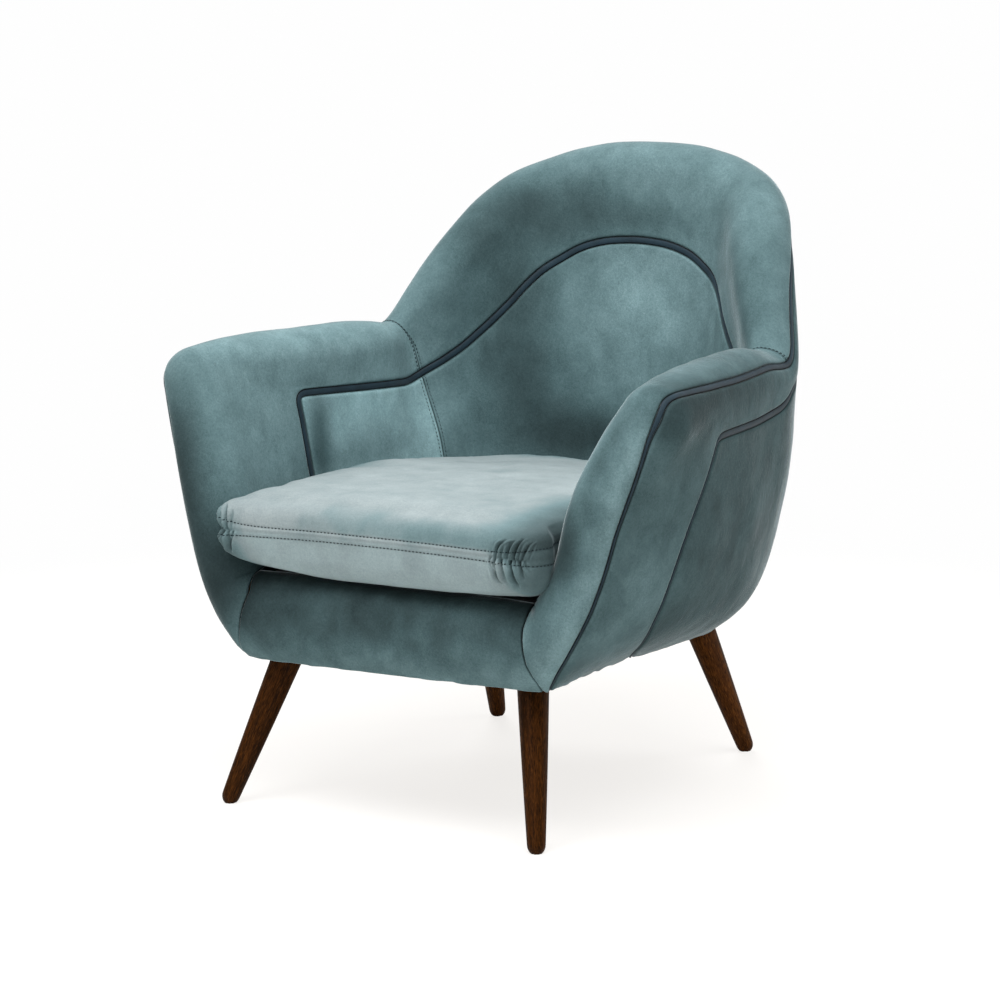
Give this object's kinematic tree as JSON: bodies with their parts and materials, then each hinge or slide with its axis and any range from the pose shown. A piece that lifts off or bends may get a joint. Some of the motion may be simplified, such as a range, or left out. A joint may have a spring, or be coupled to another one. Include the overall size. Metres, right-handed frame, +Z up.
{
  "type": "upholstered armchair",
  "caption": "Velvet tub armchair with rolled arms rising into an arched back, flat dark piping, a loose seat cushion and splayed tapered wooden legs.",
  "frame": {"origin": "middle of the footprint box on the floor, under the seat", "axes": "+Z up, +Y towards the back, +X to the sitter's left, so the chair faces -Y"},
  "size_m": [0.8102, 0.7935, 0.8563],
  "materials": {
    "body_velvet": "soft brushed velvet with a changing nap",
    "cushion_velvet": "soft brushed velvet with a changing nap",
    "piping_fabric": "flat dark velvet strip",
    "cushion_foam": "open cell foam",
    "zip_tape": "woven tape with coil teeth",
    "zip_metal": "satin",
    "leg_plate_steel": "zinc plated",
    "bolt_steel": "zinc plated",
    "leg_walnut": "dark satin lacquer over visible grain",
    "spring_steel": "black coated spring wire",
    "deck_cloth": "plain dark cloth",
    "dust_cloth": "thin black non-woven cloth",
    "frame_wood": "unfinished planed wood"
  },
  "bodies": {
    "chair": {"arm_post_left": "frame_wood", "arm_post_right": "frame_wood", "arm_rail_left": "frame_wood", "arm_rail_right": "frame_wood", "arm_rim_left": "body_velvet", "arm_rim_right": "body_velvet", "back_mid_rail": "frame_wood", "back_post_left": "frame_wood", "back_post_right": "frame_wood", "back_rim": "body_velvet", "back_top_rail": "frame_wood", "corner_block_front_left": "frame_wood", "corner_block_front_right": "frame_wood", "corner_block_rear_left": "frame_wood", "corner_block_rear_right": "frame_wood", "dust_cover": "dust_cloth", "front_apron": "body_velvet", "front_rail": "frame_wood", "inner_arm_pad_left": "body_velvet", "inner_arm_pad_right": "body_velvet", "inner_back_pad": "body_velvet", "inner_piping": "piping_fabric", "leg_bolt_front_left": "bolt_steel", "leg_bolt_front_right": "bolt_steel", "leg_bolt_rear_left": "bolt_steel", "leg_bolt_rear_right": "bolt_steel", "leg_front_left": "leg_walnut", "leg_front_right": "leg_walnut", "leg_plate_front_left": "leg_plate_steel", "leg_plate_front_right": "leg_plate_steel", "leg_plate_rear_left": "leg_plate_steel", "leg_plate_rear_right": "leg_plate_steel", "leg_rear_left": "leg_walnut", "leg_rear_right": "leg_walnut", "middle_band_left": "body_velvet", "middle_band_right": "body_velvet", "outer_panel_left": "body_velvet", "outer_panel_right": "body_velvet", "outer_piping_lower": "piping_fabric", "outer_piping_upper": "piping_fabric", "rear_rail": "frame_wood", "seat_deck": "deck_cloth", "seat_spring_1": "spring_steel", "seat_spring_2": "spring_steel", "seat_spring_3": "spring_steel", "seat_spring_4": "spring_steel", "side_rail_left": "frame_wood", "side_rail_right": "frame_wood"},
    "seat_cushion": {"cushion_cover": "cushion_velvet", "cushion_foam_core": "cushion_foam", "zip_tape": "zip_tape"},
    "zip_slider": {"zip_slider": "zip_metal"}
  },
  "joints": [
    {"name": "cushion_lift", "type": "slide", "parent": "chair", "child": "seat_cushion", "axis": [0, 0, 1], "range_m": [0, 0.25]},
    {"name": "zip_run", "type": "slide", "parent": "seat_cushion", "child": "zip_slider", "axis": [-1, 0, 0], "range_m": [0, 0.168]}
  ]
}
